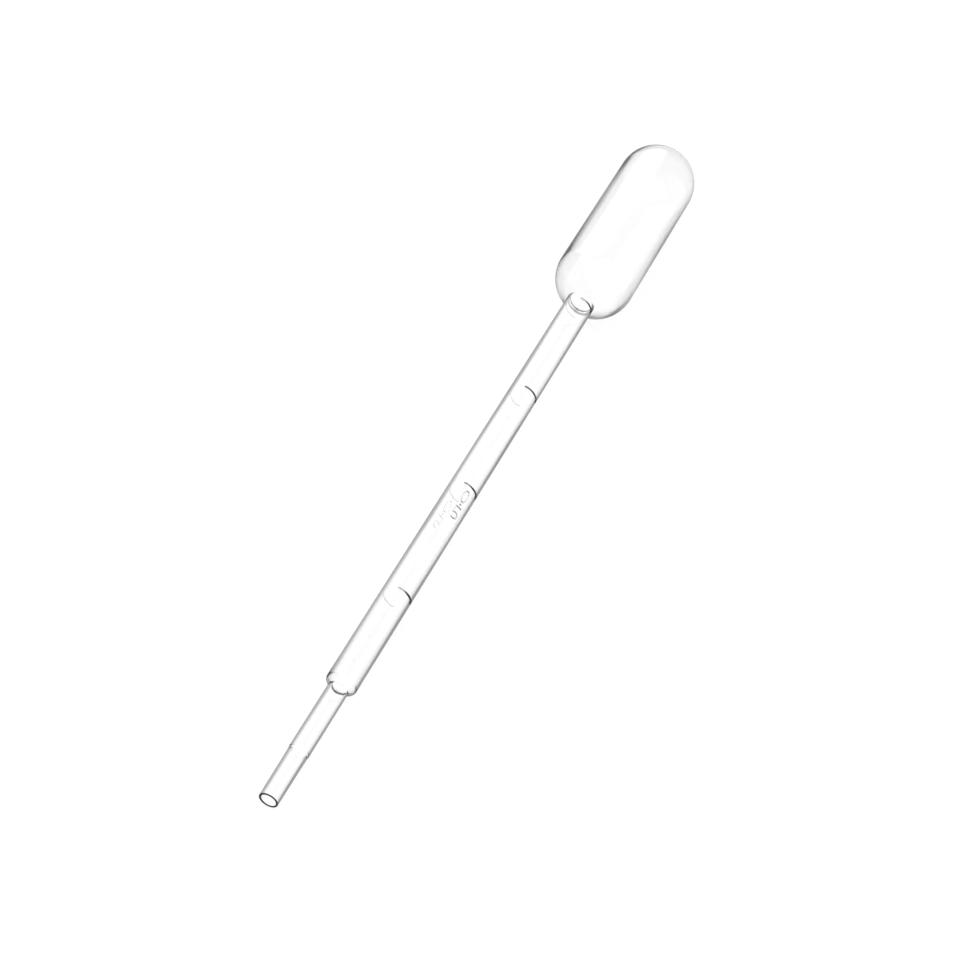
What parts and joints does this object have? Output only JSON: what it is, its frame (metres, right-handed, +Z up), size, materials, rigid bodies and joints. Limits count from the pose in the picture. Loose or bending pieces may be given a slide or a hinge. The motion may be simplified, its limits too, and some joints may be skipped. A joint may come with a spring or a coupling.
{
  "type": "dropper pipette",
  "caption": "Clear blow-moulded plastic dropper pipette with an open stepped tip, a straight graduated stem and a closed round-ended squeeze bulb, lying on its side.",
  "frame": {"origin": "on the surface it lies on, under the middle of its bounding box", "axes": "+X runs along the pipette from the tip towards the bulb, +Z is up; the pipette's own axis rises 2.65 degrees from the tip to the bulb, in the XZ plane"},
  "size_m": [0.1418, 0.0128, 0.014],
  "materials": {
    "clear_polyethylene": "satin"
  },
  "bodies": {
    "root": {"pipette": "clear_polyethylene"}
  },
  "joints": []
}
